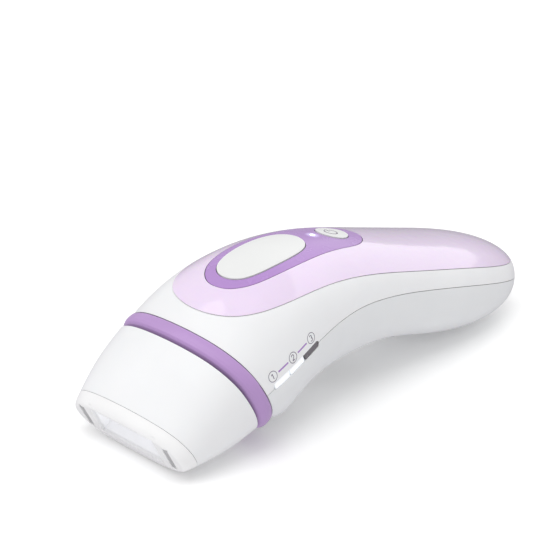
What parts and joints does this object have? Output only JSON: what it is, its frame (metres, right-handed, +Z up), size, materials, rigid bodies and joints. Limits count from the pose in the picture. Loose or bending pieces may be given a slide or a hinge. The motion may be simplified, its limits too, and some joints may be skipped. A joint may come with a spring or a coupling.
{
  "type": "ipl hair remover",
  "caption": "Handheld light-pulse hair remover: curved handle with flash and mode buttons, collar ring and clip-on treatment head.",
  "frame": {"origin": "under the centre of the bounding box, on the table", "axes": "+X from the treatment head to the tail, +Z up, -Y the side with the level display"},
  "size_m": [0.1954, 0.0635, 0.0577],
  "materials": {
    "white_shell": "satin white moulded plastic",
    "white_button": "smooth white plastic",
    "lilac_cover": "polished pale lilac, slightly translucent",
    "purple_trim": "satin purple plastic",
    "nose_white": "smooth white plastic",
    "sensor_grey": "warm grey conductive plastic",
    "light_pipe": "milky light pipe",
    "dark_plastic": "moulded dark grey",
    "filter": "coated filter glass",
    "gold": "gold plated",
    "mirror_metal": "polished reflector sheet",
    "window_glass": "clear quartz",
    "lamp_glass": "clear quartz tube",
    "steel": "machined",
    "board": "green circuit board",
    "black_part": "moulded black",
    "capacitor": "dark blue sleeve",
    "winding": "taped winding",
    "heat_sink": "extruded",
    "grey_ring": "moulded grey",
    "wire": "insulated wire"
  },
  "bodies": {
    "body": {"button_board": "board", "button_surround": "purple_trim", "capacitor_clamp": "black_part", "collar_ring": "purple_trim", "contact_pins": "gold", "decor_cover": "lilac_cover", "fan_frame": "black_part", "filter_glass": "filter", "flash_capacitor": "capacitor", "flash_lamp": "lamp_glass", "flash_switch": "black_part", "front_bulkhead": "dark_plastic", "heat_sink": "heat_sink", "inlet_collar": "grey_ring", "inlet_wire_left": "wire", "inlet_wire_right": "wire", "lamp_chamber": "dark_plastic", "lamp_end_left": "steel", "lamp_end_right": "steel", "level_board": "board", "level_light_high": "light_pipe", "level_light_low": "light_pipe", "level_light_mid": "light_pipe", "lower_shell": "white_shell", "main_board": "board", "mode_switch": "black_part", "power_inlet": "black_part", "power_transistor": "black_part", "ready_led": "light_pipe", "ready_light": "light_pipe", "reflector": "mirror_metal", "shell_screws": "steel", "transformer": "winding", "trigger_coil": "winding", "upper_shell": "white_shell"},
    "treatment_head": {"head_shell": "white_shell", "nose_plate": "nose_white", "skin_sensor_left": "sensor_grey", "skin_sensor_right": "sensor_grey", "sensor_board_left": "board", "sensor_board_right": "board", "light_guide": "mirror_metal", "head_window": "window_glass", "head_base": "dark_plastic", "contact_pads": "gold"},
    "flash_button": {"flash_button": "white_button"},
    "mode_button": {"mode_button": "white_button"},
    "fan_rotor": {"fan_rotor": "black_part"}
  },
  "joints": [
    {"name": "head_release", "type": "slide", "parent": "body", "child": "treatment_head", "axis": [-0.866, 0, -0.5], "range_m": [0, 0.012]},
    {"name": "flash_press", "type": "slide", "parent": "body", "child": "flash_button", "axis": [0.1045, 0, -0.9945], "range_m": [0, 0.001], "stiffness_N_per_m": 1200, "springref_m": -0.0005},
    {"name": "mode_press", "type": "slide", "parent": "body", "child": "mode_button", "axis": [-0.1908, 0, -0.9816], "range_m": [0, 0.0006], "stiffness_N_per_m": 1200, "springref_m": -0.0005},
    {"name": "fan_spin", "type": "hinge", "parent": "body", "child": "fan_rotor", "pos_m": [0.003, 0, 0.0235], "axis": [0, 0, 1], "continuous": true}
  ]
}
